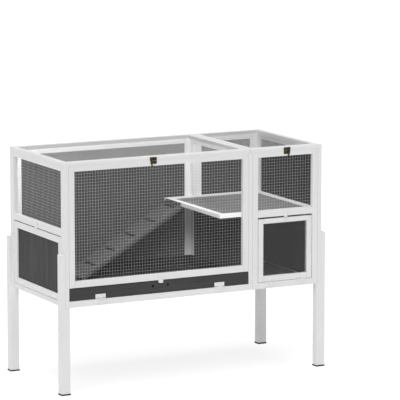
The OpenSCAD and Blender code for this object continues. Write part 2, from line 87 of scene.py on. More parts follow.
class Look:
    """A node material in the making."""

    def __init__(self, name, **settings):
        self.material = bpy.data.materials.new(name)
        self.material.use_nodes = True
        self.tree = self.material.node_tree
        self.shader = self.tree.nodes["Principled BSDF"]
        for key, value in settings.items():
            self.shader.inputs[key.replace("_", " ")].default_value = value

    def node(self, kind, inputs=(), **settings):
        made = self.tree.nodes.new("ShaderNode" + kind)
        for key, value in settings.items():
            setattr(made, key, value)
        for key, value in dict(inputs).items():
            if isinstance(value, bpy.types.NodeSocket):
                self.tree.links.new(value, made.inputs[key])
            else:
                made.inputs[key].default_value = value
        return made

    def place(self, stretch):
        """The board attribute, stretched."""
        board = self.node("Attribute", attribute_name="board")
        return self.node("Mapping", {"Vector": board.outputs["Vector"], "Scale": stretch}).outputs[0]

    def noise(self, stretch, detail=3.0, rough=0.55, twist=0.0):
        inputs = {"Vector": self.place(stretch), "Scale": 1.0, "Detail": detail, "Roughness": rough,
                  "Distortion": twist}
        return self.node("TexNoise", inputs).outputs["Fac"]

    def cells(self, stretch):
        """One random colour for each cell."""
        return self.node("TexVoronoi", {"Vector": self.place(stretch), "Scale": 1.0}).outputs["Color"]

    def spread(self, value, low, high, start=0.3, end=0.7):
        """Turns start to end into low to high."""
        inputs = {"Value": value, "From Min": start, "From Max": end, "To Min": low, "To Max": high}
        return self.node("MapRange", inputs).outputs["Result"]

    def mix(self, factor, first, second, blend="MIX"):
        made = self.node("Mix", data_type="RGBA", blend_type=blend)
        for socket, value in ((made.inputs[0], factor), (made.inputs[6], first), (made.inputs[7], second)):
            if isinstance(value, bpy.types.NodeSocket):
                self.tree.links.new(value, socket)
            else:
                socket.default_value = value if isinstance(value, float) else (*value, 1.0)
        return made.outputs[2]

    def drive(self, **sockets):
        """Links values to the shader's sockets."""
        for key, value in sockets.items():
            self.tree.links.new(value, self.shader.inputs[key.replace("_", " ")])

    def bump(self, *layers):
        """Each layer is a height and a depth; they are stacked."""
        normal = None
        for height, depth in layers:
            inputs = {"Height": height, "Strength": 1.0, "Distance": depth}
            if normal:
                inputs["Normal"] = normal
            normal = self.node("Bump", inputs).outputs["Normal"]
        self.drive(Normal=normal)


def shade(colour, factor, lift=0.0):
    return tuple(min(1.0, c * factor + lift) for c in colour)


def painted_timber():
    look = Look("white_paint", Specular_IOR_Level=0.4)
    fibre = look.noise((30, 900, 900), 3.0)
    figure = look.noise((5, 95, 95), 4.0, 0.6, 0.8)
    brush = look.noise((9, 330, 330), 2.0)
    patch = look.noise((7, 11, 11), 2.0)
    colour = look.mix(look.spread(patch, 0.0, 1.0), (0.81, 0.81, 0.808), (0.785, 0.785, 0.782))
    colour = look.mix(look.spread(figure, 0.0, 0.5, 0.5, 0.72), colour, (0.74, 0.74, 0.735))
    look.drive(Base_Color=colour, Roughness=look.spread(brush, 0.42, 0.58))
    look.bump((figure, 0.00025), (brush, 0.00015), (fibre, 0.00008))
    return look.material


def grey_paint(name, dark, light, line):
    look = Look(name, Specular_IOR_Level=0.2)
    fibre = look.noise((26, 800, 800), 3.0)
    figure = look.noise((3.5, 60, 60), 5.0, 0.6, 1.2)
    patch = look.noise((6, 9, 9), 2.0)
    colour = look.mix(look.spread(patch, 0.0, 1.0), dark, light)
    colour = look.mix(look.spread(figure, 0.0, 0.6, 0.5, 0.75), colour, line)
    look.drive(Base_Color=colour, Roughness=look.spread(figure, 0.5, 0.72))
    look.bump((figure, 0.0004), (fibre, 0.00012))
    return look.material


def galvanised(name, base, metallic, cell):
    look = Look(name, Metallic=metallic)
    spangle = look.cells((cell, cell, cell))
    grime = look.noise((90, 90, 90), 4.0)
    grey = look.node("RGBToBW", {"Color": spangle}).outputs[0]
    colour = look.mix(grey, base, shade(base, 1.12))
    colour = look.mix(look.spread(grime, 0.0, 0.35, 0.45, 0.7), colour, shade(base, 0.72))
    look.drive(Base_Color=colour, Roughness=look.spread(grey, 0.3, 0.48, 0.1, 0.9))
    look.bump((grime, 0.00006))
    return look.material


def aged_brass():
    look = Look("aged_brass", Metallic=1.0)
    patina = look.noise((160, 160, 160), 5.0, 0.65)
    scratch = look.noise((60, 1500, 300), 2.0)
    colour = look.mix(look.spread(patina, 0.0, 1.0, 0.35, 0.65), (0.125, 0.09, 0.05), (0.028, 0.02, 0.012))
    look.drive(Base_Color=colour, Roughness=look.spread(patina, 0.34, 0.6))
    look.bump((patina, 0.00006), (scratch, 0.00002))
    return look.material


def moulded(name, colour, rough, grain):
    look = Look(name, Specular_IOR_Level=0.4)
    pebble = look.noise((grain, grain, grain), 2.0)
    flow = look.noise((4, 4, 30), 3.0)
    colour = look.mix(look.spread(flow, 0.0, 1.0), colour, shade(colour, 1.6, 0.004))
    look.drive(Base_Color=colour, Roughness=look.spread(pebble, rough - 0.08, rough + 0.08))
    look.bump((pebble, 0.00008))
    return look.material


def clear_acrylic():
    look = Look("clear_acrylic", Base_Color=(0.93, 0.95, 0.95, 1), Transmission_Weight=1.0, IOR=1.33)
    smear = look.noise((9, 30, 60), 4.0, 0.6, 0.5)
    scuff = look.noise((40, 1600, 1600), 1.0)
    look.drive(Roughness=look.spread(smear, 0.01, 0.07, 0.4, 0.75))
    look.bump((scuff, 0.000004))
    return look.material


# The look of each of the record's material slots
LOOKS = {
    "painted_timber": painted_timber(),
    "grey_board": grey_paint("grey_paint", (0.049, 0.049, 0.0495), (0.059, 0.059, 0.0595),
                             (0.034, 0.034, 0.034)),
    # The shelf board: a lighter grey than the other boards, painted light standing in for the strong light
    # from above on its top
    "shelf_board": grey_paint("shelf_paint_painted_top_light", (0.16, 0.16, 0.161), (0.185, 0.185, 0.186),
                              (0.12, 0.12, 0.12)),
    "wire_mesh": galvanised("galvanised_wire", (0.6, 0.605, 0.605), 0.35, 260),
    "zinc_steel": galvanised("zinc_plate", (0.78, 0.785, 0.785), 0.45, 190),
    "aged_brass": aged_brass(),
    "dark_steel": moulded("dark_enamel", (0.06, 0.06, 0.06), 0.42, 900),
    "black_plastic": moulded("black_plastic", (0.011, 0.011, 0.011), 0.5, 1400),
    "foot_rubber": moulded("foot_rubber", (0.02, 0.02, 0.02), 0.75, 700),
    "clear_pane": clear_acrylic(),
}

# Painted light: lighter wires for the lids, a copy of the wire's look whose tops stand in for brighter light
# from above
LID_WIRE_PAINTED_TOP_LIGHT = galvanised("galvanised_wire_painted_top_light", (0.75, 0.755, 0.755), 0.3, 260)
# Painted light: a lighter copy of the grey board paint for the back boards and the ramp, standing in for more
# light inside the hutch and on the ramp's sloping top
PAINTED_LIGHT_BOARD_PAINT = grey_paint("back_paint", (0.073, 0.073, 0.0735), (0.084, 0.084, 0.0845),
                        (0.056, 0.056, 0.056))


# Solids: each is a bmesh in the hutch's own frame, in metres. Edges sharper than SHARP are rounded,
# and a finished piece is creased where it turns by more than CREASE. In a copy of a CAD node, points
# within WELD are one, and so are faces within FLAT. BOARD_SHIFT is the range of a board's own offset.

SHARP = math.radians(40)
CREASE = math.radians(35)
WELD = 0.002 * MM
FLAT = math.radians(0.5)
BOARD_SHIFT = 9.0


def box_solid(low, high, edge):
    solid = bmesh.new()
    bmesh.ops.create_cube(solid, size=1.0)
    size = Vector(high) - Vector(low)
    middle = (Vector(high) + Vector(low)) / 2
    bmesh.ops.transform(solid, matrix=Matrix.LocRotScale(middle, None, size), verts=solid.verts)
    soften(solid, edge)
    return solid


def prism_solid(outline, axis, start, end, edge):
    """An outline in the other two axes, in order, drawn from start to end along axis."""
    rest = [a for a in (X, Y, Z) if a != axis]
    rings = []
    for place in (start, end):
        ring = []
        for a, b in outline:
            point = [0.0, 0.0, 0.0]
            point[axis], point[rest[0]], point[rest[1]] = place, a, b
            ring.append(point)
        rings.append(ring)
    solid = ringed_solid(rings)
    soften(solid, edge)
    return solid


def soften(solid, edge):
    """Rounds every sharp edge."""
    edges = [e for e in solid.edges if len(e.link_faces) == 2 and e.calc_face_angle() > SHARP]
    bmesh.ops.bevel(solid, geom=edges, offset=edge, offset_type="OFFSET", segments=2, profile=0.6,
                    affect="EDGES", clamp_overlap=True)


def ringed_solid(rings):
    """Quads between rings of points, each with the same number of points, closed at both ends."""
    solid = bmesh.new()
    loops = [[solid.verts.new(p) for p in ring] for ring in rings]
    for first, second in zip(loops, loops[1:]):
        for i in range(len(first)):
            j = (i + 1) % len(first)
            solid.faces.new((first[i], first[j], second[j], second[i]))
    solid.faces.new(loops[0])
    solid.faces.new(loops[-1])
    bmesh.ops.recalc_face_normals(solid, faces=solid.faces)
    return solid


class Piece:
    """Gathers solids into one object."""

    def __init__(self, name):
        self.name = name
        self.mesh = bmesh.new()
        self.mesh.verts.layers.float_vector.new("board")

    def add(self, solid, along=X, turn=None):
        """along is the grain's axis before the matrix turn moves the solid."""
        if "board" not in solid.verts.layers.float_vector:
            solid.verts.layers.float_vector.new("board")
        layer = solid.verts.layers.float_vector["board"]
        order = [along] + [a for a in (X, Y, Z) if a != along]
        offset = Vector([random.uniform(0, BOARD_SHIFT) for _ in order])
        for vert in solid.verts:
            vert[layer] = Vector([vert.co[a] for a in order]) + offset
        if turn:
            bmesh.ops.transform(solid, matrix=turn, verts=solid.verts)
        part = bpy.data.meshes.new("part")
        solid.to_mesh(part)
        solid.free()
        self.mesh.from_mesh(part)
        bpy.data.meshes.remove(part)
        return self

    def done(self, node, replaces=True):
        """Makes the object, which rides and looks as the CAD node does and stands for it, unless it
        only adds to another piece that does."""
        data = bpy.data.meshes.new(self.name)
        self.mesh.to_mesh(data)
        self.mesh.free()
        made = linked(self.name, data)
        data.shade_smooth()
        data.set_sharp_from_angle(angle=CREASE)
        weigh_normals(made)
        made.data.materials.append(LOOKS[SLOT_OF[node]])
        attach(made, BODY_OF[node])
        if replaces:
            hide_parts(node)
        return made


def weigh_normals(made):
    """Keeps flat faces flat next to rounded edges."""
    modifier = made.modifiers.new("weigh", "WEIGHTED_NORMAL")
    modifier.keep_sharp = True
    bpy.context.view_layer.update()
    graph = bpy.context.evaluated_depsgraph_get()
    old = made.data
    made.data = bpy.data.meshes.new_from_object(
        made.evaluated_get(graph), preserve_all_data_layers=True, depsgraph=graph)
    made.modifiers.clear()
    bpy.data.meshes.remove(old)


def copied_solid(node, edge):
    """A CAD node's own shape, with its flat faces joined up and its sharp edges rounded."""
    solid = bmesh.new()
    solid.from_mesh(frame["nodes"][node].data)
    bmesh.ops.remove_doubles(solid, verts=solid.verts, dist=WELD)
    bmesh.ops.dissolve_limit(solid, angle_limit=FLAT, verts=solid.verts, edges=solid.edges)
    soften(solid, edge)
    return solid


# Timber

TIMBER_EDGE = 1.3 * MM
RAIL_EDGE = 1.0 * MM
BOARD_EDGE = 0.4 * MM
FOOT_EDGE = 1.2 * MM
JOINT_GAP = 0.12 * MM
PANEL_GAP = 0.7 * MM


def timber_frame(node, along, across, openings, shy=0.0, apart=False):
    """Stiles run along one axis at both ends of the other, with rails between them at every
    stretch that no opening takes. Each opening is a pair of corners. shy draws both sides in, and
    apart makes the first stile a piece of its own."""
    low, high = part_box(node)
    low[across] += shy
    high[across] -= shy
    left, right = openings[0][0][across], openings[0][1][across]
    piece = Piece(node + "_boards")

    def member(a0, a1, b0, b1, grain, part=piece):
        start, end = low.copy(), high.copy()
        start[across], end[across], start[along], end[along] = a0, a1, b0, b1
        part.add(box_solid(start, end, TIMBER_EDGE), grain)

    first = Piece(node + "_front_stile") if apart else piece
    member(low[across], left, low[along], high[along], along, first)
    if apart:
        first.done(node, replaces=False)
    member(right, high[across], low[along], high[along], along)
    marks = [low[along]]
    for corners in sorted(openings, key=lambda pair: pair[0][along]):
        marks += [corners[0][along], corners[1][along]]
    marks.append(high[along])
    for b0, b1 in zip(marks[::2], marks[1::2]):
        if b1 - b0 > MM:
            member(left + JOINT_GAP, right - JOINT_GAP, b0, b1, across)
    piece.done(node)


def grown(node, low, high):
    """A node's box with its corners moved out by low and high."""
    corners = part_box(node)
    return corners[0] - Vector(low), corners[1] + Vector(high)


FOOT_GAP = 1.5 * MM
SIDE_GAP = 2.5 * MM
HEAD_GAP = 7 * MM
END_GAP = 2 * MM
END_HEAD_GAP = 4.5 * MM
END_DOORWAY = grown("end_door_frame", (0, END_GAP, FOOT_GAP), (0, END_GAP, END_HEAD_GAP))
FRONT_DOORWAY = grown("front_door_frame", (SIDE_GAP, 0, FOOT_GAP), (SIDE_GAP, 0, HEAD_GAP))
END_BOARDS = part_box("end_right_boards")
END_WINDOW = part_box("end_left_mesh")
WINDOW_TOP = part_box("front_left_mesh")[1].z
SHELF_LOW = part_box("shelf_frame")[0].z
DIVIDER_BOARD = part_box("divider_board")


def at_height(corners, z0, z1):
    """A box between two other heights."""
    low, high = corners[0].copy(), corners[1].copy()
    low.z, high.z = z0, z1
    return low, high


RIGHT_OPENINGS = [at_height(END_BOARDS, END_BOARDS[0].z, END_DOORWAY[1].z),
                  at_height(END_BOARDS, END_WINDOW[0].z, END_BOARDS[1].z)]
timber_frame("end_left_frame", Z, Y, [END_DOORWAY, END_WINDOW])
timber_frame("end_right_frame", Z, Y, RIGHT_OPENINGS)
timber_frame("divider_frame", Z, Y, [DIVIDER_BOARD, at_height(DIVIDER_BOARD, SHELF_LOW, WINDOW_TOP)],
             apart=True)
timber_frame("front_left_frame", Z, X, [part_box("front_left_mesh")], shy=PANEL_GAP)
timber_frame("front_right_frame", Z, X, [FRONT_DOORWAY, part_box("front_right_mesh")], shy=PANEL_GAP)
timber_frame("back_left_frame", Z, X, [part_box("back_left_board")], shy=PANEL_GAP)
timber_frame("back_right_frame", Z, X, [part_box("back_right_board")], shy=PANEL_GAP)
timber_frame("front_door_frame", Z, X, [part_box("front_door_pane")])
timber_frame("end_door_frame", Z, Y, [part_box("end_door_board")])
for side in ("left", "right"):
    timber_frame(f"lid_{side}_frame", X, Y, [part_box(f"lid_{side}_mesh")])


def single_board(node, along, edge=TIMBER_EDGE):
    """A plain board, as large as its CAD node."""
    made = Piece(node + "_plank").add(box_solid(*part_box(node), edge), along).done(node)
    # The back boards take the lighter copy of the grey paint: painted light
    if node.startswith("back_"):
        made.data.materials[0] = PAINTED_LIGHT_BOARD_PAINT


for node, along in {"front_foot_rail": X, "shelf_cleat": Y}.items():
    single_board(node, along)
for node, along in {"back_left_board": Z, "back_right_board": Z, "divider_board": Z, "base_left": X,
                    "base_right": Y, "shelf_board": X, "end_door_board": Z}.items():
    single_board(node, along, BOARD_EDGE)


def end_boards():
    """The two boards of the right end, over and under its middle rail."""
    piece = Piece("end_right_panels")
    for corners in RIGHT_OPENINGS:
        piece.add(box_solid(*corners, BOARD_EDGE), Z)
    piece.done("end_right_boards")


end_boards()
Piece("shelf_rails").add(copied_solid("shelf_frame", RAIL_EDGE), X).done("shelf_frame")
Piece("flap_panel").add(copied_solid("flap_board", RAIL_EDGE), X).done("flap_board")


def leg(node):
    """A post with its top half cut back, so that it laps the end panel."""
    low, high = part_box(node)
    on_right = low.x > 0
    lap_x = HUTCH_HIGH.x if on_right else HUTCH_LOW.x
    inner, outer = (low.x, high.x) if on_right else (high.x, low.x)
    shoulder = HUTCH_LOW.z
    outline = [(inner, low.z), (outer, low.z), (outer, high.z), (lap_x, high.z), (lap_x, shoulder),
               (inner, shoulder)]
    Piece(node + "_post").add(prism_solid(outline, Y, low.y, high.y, TIMBER_EDGE), Z).done(node)


for end in ("front", "back"):
    for side in ("left", "right"):
        leg(f"leg_{end}_{side}")


def foot_pads():
    """A moulded cap under each leg."""
    piece = Piece("foot_caps")
    low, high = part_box("foot_pads")
    post_low, post_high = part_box("leg_front_left")
    width, depth = post_high.x - post_low.x, post_high.y - post_low.y
    proud = post_low.x - low.x
    size = Vector((width + 2 * proud, depth + 2 * proud, high.z - low.z))
    for x0 in (low.x, high.x - size.x):
        for y0 in (post_low.y - proud, -post_low.y + proud - size.y):
            corner = Vector((x0, y0, low.z))
            piece.add(box_solid(corner, corner + size, FOOT_EDGE), X)
    piece.done("foot_pads")


foot_pads()


# Ramp

PLANK_EDGE = 1.2 * MM
RUNG_EDGE = 1.4 * MM


def ramp():
    made = Piece("ramp_board").add(copied_solid("ramp_plank", PLANK_EDGE), X).done("ramp_plank")
    # The ramp takes the lighter copy of the grey paint: painted light on its sloping top
    made.data.materials[0] = PAINTED_LIGHT_BOARD_PAINT
    Piece("ramp_battens").add(copied_solid("ramp_rungs", RUNG_EDGE), Y).done("ramp_rungs")


ramp()


# Tray

# The rim's lip at both ends, the walls' thickness, lean, corner radius and bend at the foot, the
# height of the rim, and the rib: its distance from the tray's sides, rise, flanks and top
TRAY_LIP = 5 * MM
TRAY_WALL = 2.5 * MM
TRAY_LEAN = 1.5 * MM
TRAY_CORNER = 22 * MM
TRAY_BEND = 4 * MM
TRAY_RIM = 3 * MM
RIB_INSET = 30 * MM
RIB_RISE = 0.8 * MM
RIB_FLANK = 1 * MM
RIB_TOP = 4 * MM
CORNER_STEPS = 6


def rounded_rectangle(x0, y0, x1, y1, radius, z):
    """A ring of points at height z."""
    points = []
    corners = ((x1 - radius, y1 - radius, 0), (x0 + radius, y1 - radius, 1),
               (x0 + radius, y0 + radius, 2), (x1 - radius, y0 + radius, 3))
    for cx, cy, quarter in corners:
        for i in range(CORNER_STEPS + 1):
            angle = (quarter + i / CORNER_STEPS) * math.pi / 2
            points.append((cx + radius * math.cos(angle), cy + radius * math.sin(angle), z))
    return points


def tray():
    """A moulded tray: walls that lean out a little, a rolled rim and a shallow rib round the floor."""
    low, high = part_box("tray")
    x0, y0, x1, y1 = low.x + TRAY_LIP, low.y, high.x - TRAY_LIP, high.y

    def ring(inset, z, radius, spread=0.0):
        left, right = x0 + inset - spread, x1 - inset + spread
        return rounded_rectangle(left, y0 + inset, right, y1 - inset, radius, z)

    under_rim, rim_radius = 0.6 * MM, TRAY_CORNER + TRAY_LEAN
    bend_radius, rib_radius = TRAY_CORNER - 5 * MM, TRAY_CORNER - 8 * MM
    floor_z = low.z + TRAY_WALL
    inside = TRAY_WALL + TRAY_LEAN
    outer_wall = [
        ring(TRAY_LEAN + TRAY_BEND, low.z, bend_radius),
        ring(TRAY_LEAN, low.z + TRAY_BEND, TRAY_CORNER),
        ring(under_rim, high.z - TRAY_RIM - 1 * MM, rim_radius),
        ring(under_rim, high.z - TRAY_RIM, rim_radius),
    ]
    rim = [
        ring(0, high.z - 2.2 * MM, rim_radius, TRAY_LIP - 1 * MM),
        ring(0, high.z - 0.6 * MM, rim_radius, TRAY_LIP),
        ring(0.4 * MM, high.z, rim_radius, TRAY_LIP - 1.2 * MM),
        ring(TRAY_WALL - 0.6 * MM, high.z, TRAY_CORNER),
        ring(TRAY_WALL, high.z - 0.8 * MM, TRAY_CORNER),
    ]
    inner_wall = [
        ring(inside, floor_z + 5 * MM, TRAY_CORNER - TRAY_WALL),
        ring(inside + TRAY_BEND, floor_z, bend_radius),
    ]
    rib = [
        ring(RIB_INSET, floor_z, rib_radius),
        ring(RIB_INSET + RIB_FLANK, floor_z + RIB_RISE, rib_radius),
        ring(RIB_INSET + RIB_FLANK + RIB_TOP, floor_z + RIB_RISE, rib_radius),
        ring(RIB_INSET + 2 * RIB_FLANK + RIB_TOP, floor_z, rib_radius),
    ]
    Piece("tray_moulding").add(ringed_solid(outer_wall + rim + inner_wall + rib), X).done("tray")


tray()


# Welded mesh

# WIRE_BITE is how far apart crossing wires lie, in diameters, WIRE_END how far they run under the
# frame, and WIRE_STRAY how unevenly they lie.
WIRE_PITCH = 12.7 * MM
WIRE_R = 0.38 * MM
WIRE_SIDES = 6
WIRE_BITE = 0.92
WIRE_END = 1.5 * MM
WIRE_STRAY = 0.04 * MM
WIRE_CREASE = math.radians(70)


def wire_ring(middle, ahead):
    """The corners of a wire's end, round its middle."""
    aside = ahead.orthogonal().normalized()
    third = ahead.cross(aside)
    turns = [2 * math.pi * i / WIRE_SIDES for i in range(WIRE_SIDES)]
    return [middle + WIRE_R * (math.cos(t) * aside + math.sin(t) * third) for t in turns]


def add_wire(solid, layer, start, end):
    """A straight wire from start to end."""
    ahead = (end - start).normalized()
    offset = Vector((random.uniform(0, BOARD_SHIFT), 0, 0))
    loops = []
    for middle in (start, end):
        loop = [solid.verts.new(p) for p in wire_ring(middle, ahead)]
        for vert in loop:
            vert[layer] = vert.co + offset
        loops.append(loop)
    for j in range(WIRE_SIDES):
        k = (j + 1) % WIRE_SIDES
        solid.faces.new((loops[0][j], loops[0][k], loops[1][k], loops[1][j]))
    solid.faces.new(loops[0][::-1])
    solid.faces.new(loops[1])


def welded_mesh(node, thin, outward):
    """Wires both ways at an even pitch. outward is the side of the sheet, along thin, that its
    outer wires lie on."""
    low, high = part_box(node)
    inner_face = low[thin] if outward > 0 else high[thin]
    across = [a for a in (X, Y, Z) if a != thin]
    solid = bmesh.new()
    layer = solid.verts.layers.float_vector.new("board")
    for rank, (along, step) in enumerate((across, across[::-1])):
        count = int((high[step] - low[step]) / WIRE_PITCH)
        spare = (high[step] - low[step] - count * WIRE_PITCH) / 2
        depth = inner_face + outward * WIRE_R * (1 + 2 * rank * WIRE_BITE)
        for i in range(count + 1):
            place = low[step] + spare + i * WIRE_PITCH
            if not low[step] + WIRE_R < place < high[step] - WIRE_R:
                continue
            start, end = Vector((0, 0, 0)), Vector((0, 0, 0))
            start[thin] = end[thin] = depth
            start[step] = place + random.gauss(0, WIRE_STRAY)
            end[step] = place + random.gauss(0, WIRE_STRAY)
            start[along], end[along] = low[along] - WIRE_END, high[along] + WIRE_END
            add_wire(solid, layer, start, end)
    bmesh.ops.recalc_face_normals(solid, faces=solid.faces)
    name = node + "_wires"
    data = bpy.data.meshes.new(name)
    solid.to_mesh(data)
    solid.free()
    made = linked(name, data)
    data.shade_smooth()
    data.set_sharp_from_angle(angle=WIRE_CREASE)
    # The lids' wires take the lighter copy: painted light from above
    data.materials.append(LID_WIRE_PAINTED_TOP_LIGHT if thin == Z else LOOKS["wire_mesh"])
    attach(made, BODY_OF[node])
    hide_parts(node)


welded_mesh("end_left_mesh", X, -1)
welded_mesh("front_left_mesh", Y, -1)
welded_mesh("front_right_mesh", Y, -1)
welded_mesh("lid_left_mesh", Z, 1)
welded_mesh("lid_right_mesh", Z, 1)


# Hardware

HEAD_POINTS = 24
# A domed head: shares of its radius and of its height, from the foot up
DOME = ((1.0, 0.0), (0.98, 0.35), (0.86, 0.74), (0.66, 1.0))
# Recesses in the same shares, from the top down: a cross's arm, half width and height, and a
# hexagon's radius and height
CROSS = ((0.5, 0.13, 1.0), (0.4, 0.09, 0.25))
HEXAGON = ((0.45, 1.0), (0.43, 0.2))


def circle_points(radius, height):
    turns = [2 * math.pi * i / HEAD_POINTS for i in range(HEAD_POINTS)]
    return [(radius * math.cos(t), radius * math.sin(t), height) for t in turns]


def cross_points(arm, half, height):
    """The outline of a cross recess, one point for each point of a head's rim."""
    middle = (arm + half) / 2
    quarter = [(arm, 0), (arm, half), (middle, half), (half, half), (half, middle), (half, arm)]
    points = []
    for turn in range(4):
        for a, b in quarter:
            for _ in range(turn):
                a, b = -b, a
            points.append((a, b, height))
    return points


def hexagon_points(radius, height):
    points = []
    for i in range(HEAD_POINTS):
        turn = 2 * math.pi * i / HEAD_POINTS
        within = (turn + math.pi / 6) % (math.pi / 3) - math.pi / 6
        reach = radius * math.cos(math.pi / 6) / math.cos(within)
        points.append((reach * math.cos(turn), reach * math.sin(turn), height))
    return points


def screw_head(radius, height, recess):
    """A domed head that stands on z = 0 and faces +Z."""
    dome = [circle_points(radius * wide, height * up) for wide, up in DOME]
    if recess == "cross":
        dome += [cross_points(radius * arm, radius * half, height * up) for arm, half, up in CROSS]
    else:
        dome += [hexagon_points(radius * wide, height * up) for wide, up in HEXAGON]
    return ringed_solid(dome)


def facing(point, normal, spin=0.0):
    """Moves a head that faces +Z to a point, facing along normal."""
    turn = Vector(normal).to_track_quat("Z", "Y").to_matrix().to_4x4()
    return Matrix.Translation(point) @ turn @ Matrix.Rotation(spin, 4, "Z")


LEAF_LENGTH = 47 * MM
LEAF_THICK = 1.2 * MM
LEAF_EDGE = 0.3 * MM
# Leaf screws: radius and height of the head, and distances from the leaf's ends and from its edge
LEAF_SCREW_R = 2.8 * MM
LEAF_SCREW_RISE = 0.7 * MM
LEAF_SCREW_INSET = 9 * MM
SCREW_LINE = 6 * MM
LID_SCREW_LINE = 4.5 * MM
RAMP_SCREW_LINE = 2.8 * MM
RAMP_SCREW_R = 2.2 * MM
RAMP_HINGES = 3
RAMP_SLOPE = math.radians(30)
# How high the ramp's hinge axis is over its plank, and how far down the slope its screws are
RAMP_PIN_RISE = 3.4 * MM
RAMP_SCREW_RUN = 7.7 * MM


def hinge_leaves(node, run, normal, spans, outer, screw=LEAF_SCREW_R):
    """A node's leaves with their screws. run is the pin's axis, spans are the middles of the leaves
    along it, and outer is the point across the leaf where the screws go."""
    Piece(node + "_plates").add(copied_solid(node, LEAF_EDGE), run).done(node)
    screws = Piece(node + "_screws")
    for middle in spans:
        for side in (-1, 0, 1):
            point = Vector(outer)
            point[run] = middle + side * (LEAF_LENGTH / 2 - LEAF_SCREW_INSET)
            head = screw_head(screw, LEAF_SCREW_RISE, "cross")
            screws.add(head, X, facing(point, normal, random.uniform(0, math.pi)))
    screws.done(node, replaces=False)


def middles(node, run, count=2):
    """The middles of the leaves of an even row, which fills the node."""
    low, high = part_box(node)
    first, last = low[run] + LEAF_LENGTH / 2, high[run] - LEAF_LENGTH / 2
    return [first + (last - first) * i / (count - 1) for i in range(count)]


def drop_hinges(leaves, bases, run, face):
    """The hinges along the foot of a door, on the face that they are screwed to."""
    normal, outer = Vector((0, 0, 0)), Vector((0, 0, 0))
    thin = X if run == Y else Y
    normal[thin], outer[thin] = -1, face - LEAF_THICK
    outer.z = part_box(leaves)[1].z - SCREW_LINE
    hinge_leaves(leaves, run, normal, middles(leaves, run), outer)
    outer.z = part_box(bases)[0].z + SCREW_LINE
    hinge_leaves(bases, run, normal, middles(bases, run), outer)


def lid_hinges():
    """The hinges of both lids, on the back."""
    normal, face = (0, 1, 0), HUTCH_HIGH.y + LEAF_THICK
    spans = []
    for side in ("left", "right"):
        leaves = f"lid_{side}_leaves"
        spans += middles(leaves, X)
        hinge_leaves(leaves, X, normal, middles(leaves, X), (0, face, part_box(leaves)[1].z - LID_SCREW_LINE))
    bases = "lid_hinge_bases"
    hinge_leaves(bases, X, normal, spans, (0, face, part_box(bases)[0].z + SCREW_LINE))


def ramp_hinges():
    """The bases are on the end of the shelf, and the ramp's own leaves lie on its sloping top."""
    bases, leaves = "ramp_hinge_bases", "ramp_leaves"
    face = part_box("shelf_frame")[0].x - LEAF_THICK
    hinge_leaves(bases, Y, (-1, 0, 0), middles(bases, Y, RAMP_HINGES),
                 (face, 0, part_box(bases)[1].z - RAMP_SCREW_LINE), RAMP_SCREW_R)
    up = Vector((-math.sin(RAMP_SLOPE), 0, math.cos(RAMP_SLOPE)))
    down_slope = Vector((-math.cos(RAMP_SLOPE), 0, -math.sin(RAMP_SLOPE)))
    axis = Vector(next(j["pos_m"] for j in frame["joints"] if j["name"] == "ramp_hinge"))
    surface = axis - up * (RAMP_PIN_RISE - LEAF_THICK) + down_slope * RAMP_SCREW_RUN
    hinge_leaves(leaves, Y, up, middles(leaves, Y, RAMP_HINGES), surface)


drop_hinges("flap_leaves", "flap_hinge_bases", X, HUTCH_LOW.y)
drop_hinges("front_door_leaves", "front_door_hinge_bases", X, HUTCH_LOW.y)
drop_hinges("end_door_leaves", "end_door_hinge_bases", Y, HUTCH_LOW.x)
lid_hinges()
ramp_hinges()


def softened(node, edge, along=Z):
    """A node as it is, with its edges rounded."""
    Piece(node + "_part").add(copied_solid(node, edge), along).done(node)


BUTTONS = ("flap_button", "front_door_button", "end_door_button")
BUTTON_EDGE = 1.1 * MM
LATCH_EDGE = 0.35 * MM

for side in ("left", "right"):
    softened(f"lid_{side}_latch_plate", LATCH_EDGE, X)
    softened(f"lid_{side}_hook", LATCH_EDGE)
softened("latch_keepers", 0.25 * MM, X)
for node in BUTTONS:
    softened(node, BUTTON_EDGE)
softened("hinge_pins", 0.2 * MM)
softened("leg_nuts", 0.4 * MM)
softened("front_door_pane", 0.3 * MM)


# Screws of the turn buttons: the gap under the head, its radius and height, the shank's radius and
# length, and how far the shank runs into the head
PIVOT_GAP = 0.3 * MM
PIVOT_R = 4 * MM
PIVOT_RISE = 1.7 * MM
SHANK_R = 2 * MM
SHANK_LENGTH = 6.5 * MM
SHANK_BITE = 0.1 * MM


def button_screws():
    """The pivot screws of the turn buttons, with domed cross heads over their shanks."""
    piece = Piece("button_pivots")
    for node in BUTTONS:
        thin = X if node == "end_door_button" else Y
        face = Vector(next(j["pos_m"] for j in frame["joints"] if j["child"] == node))
        face[thin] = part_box(node)[0][thin] - PIVOT_GAP
        normal = Vector((0, 0, 0))
        normal[thin] = -1
        head = screw_head(PIVOT_R, PIVOT_RISE, "cross")
        piece.add(head, X, facing(face, normal, random.uniform(0, math.pi)))
        ends = (-SHANK_LENGTH, SHANK_BITE)
        shank = ringed_solid([circle_points(SHANK_R, height) for height in ends])
        piece.add(shank, X, facing(face, normal))
    piece.done("button_screws")


button_screws()

BOLT_R = 8 * MM
BOLT_RISE = 2.4 * MM


def leg_bolts():
    """Domed socket heads on the inner faces of the end panels."""
    piece = Piece("leg_bolt_heads")
    low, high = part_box("leg_bolts")
    for x, normal in ((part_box("end_left_frame")[1].x, 1), (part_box("end_right_frame")[0].x, -1)):
        for y in (low.y + BOLT_R, high.y - BOLT_R):
            for z in (low.z + BOLT_R, high.z - BOLT_R):
                head = screw_head(BOLT_R, BOLT_RISE, "hexagon")
                piece.add(head, X, facing(Vector((x, y, z)), (normal, 0, 0), random.uniform(0, math.pi)))
    piece.done("leg_bolts")


leg_bolts()


# Floor, light and camera. The floor is a lit table, which keeps the shadow under the hutch pale.
# Places and reaches are in metres, the suns' powers in watts per square metre, the lamp's in watts.

